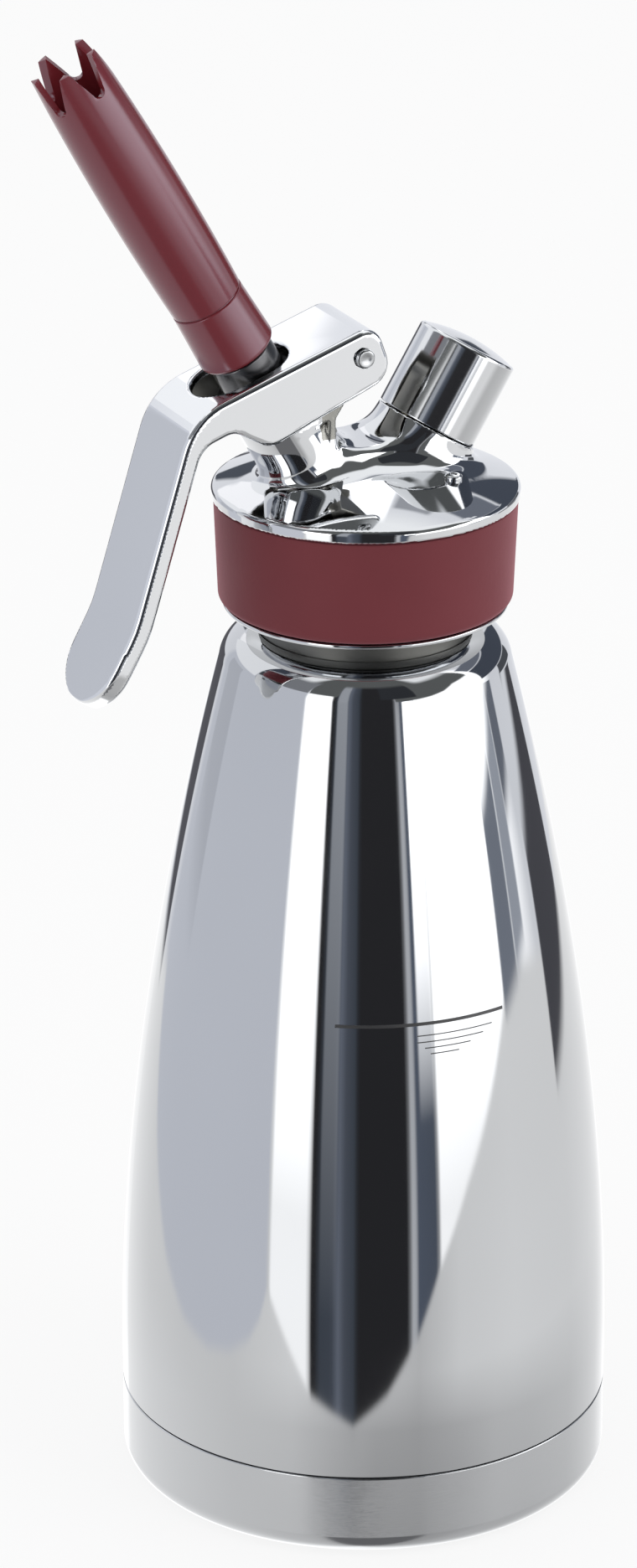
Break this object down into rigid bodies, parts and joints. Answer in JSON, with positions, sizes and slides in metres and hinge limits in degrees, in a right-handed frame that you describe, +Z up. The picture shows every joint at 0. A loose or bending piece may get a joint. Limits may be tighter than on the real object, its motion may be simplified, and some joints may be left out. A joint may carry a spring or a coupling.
{
  "type": "whipped cream dispenser",
  "caption": "Polished double-walled flask with a screwed head, inclined valve and toothed decorator tip, hand lever and charger cap.",
  "frame": {"origin": "middle of the base, on the plane that the flask stands on", "axes": "+Z up along the flask's axis; -X towards the lever and the decorator tip, +X towards the charger cap; -Y is the side nearer the picture's camera"},
  "size_m": [0.1256, 0.105, 0.324],
  "materials": {
    "polished_steel": "mirror polished",
    "satin_steel": "satin spun",
    "turned_steel": "fine turned",
    "polished_casting": "mirror polished",
    "plated_brass": "nickel plated",
    "spring_steel": "drawn wire",
    "burgundy_plastic": "moulded, glossy",
    "burgundy_silicone": "matte silicone",
    "pale_silicone": "matte silicone",
    "black_rubber": "matte rubber"
  },
  "bodies": {
    "bottle": {"outer_shell": "polished_steel", "base_cup": "satin_steel", "inner_flask": "satin_steel", "neck_ring": "satin_steel", "vacuum_plug": "turned_steel", "getter_cup": "turned_steel"},
    "head": {"head_casting": "polished_casting", "grip_band": "burgundy_silicone", "head_gasket": "pale_silicone", "valve_bush": "turned_steel", "stem_seal": "black_rubber", "seal_washer": "turned_steel", "valve_spring": "spring_steel", "charger_spigot": "plated_brass", "piercing_pin": "turned_steel", "charger_seal": "black_rubber", "gas_check_valve": "pale_silicone", "channel_plug": "turned_steel", "lever_pin": "turned_steel"},
    "lever": {"lever": "polished_casting"},
    "valve": {"valve_stem": "turned_steel", "valve_disc": "black_rubber", "disc_nut": "turned_steel"},
    "tip": {"decorator_tip": "burgundy_plastic", "tip_insert": "turned_steel"},
    "cap": {"charger_cap": "polished_casting"}
  },
  "joints": [
    {"name": "head_lift", "type": "slide", "parent": "bottle", "child": "head", "axis": [0, 0, 1], "range_m": [0, 0.07]},
    {"name": "lever_pivot", "type": "hinge", "parent": "head", "child": "lever", "pos_m": [-0.00588, 0, 0.25431], "axis": [0, -1, 0], "range_deg": [0, 12], "stiffness_Nm_per_rad": 2, "springref_deg": -8.59},
    {"name": "valve_slide", "type": "slide", "parent": "head", "child": "valve", "axis": [0.5045, 0, -0.8634], "range_m": [0, 0.0027], "deforming": ["valve_spring"]},
    {"name": "tip_lift", "type": "slide", "parent": "valve", "child": "tip", "axis": [-0.5045, 0, 0.8634], "range_m": [0, 0.03]},
    {"name": "cap_lift", "type": "slide", "parent": "head", "child": "cap", "axis": [0.521, 0, 0.8536], "range_m": [0, 0.03]}
  ],
  "couplings": [
    {"joint": "valve_slide", "follows": "lever_pivot", "m_per_rad": 0.0127}
  ]
}
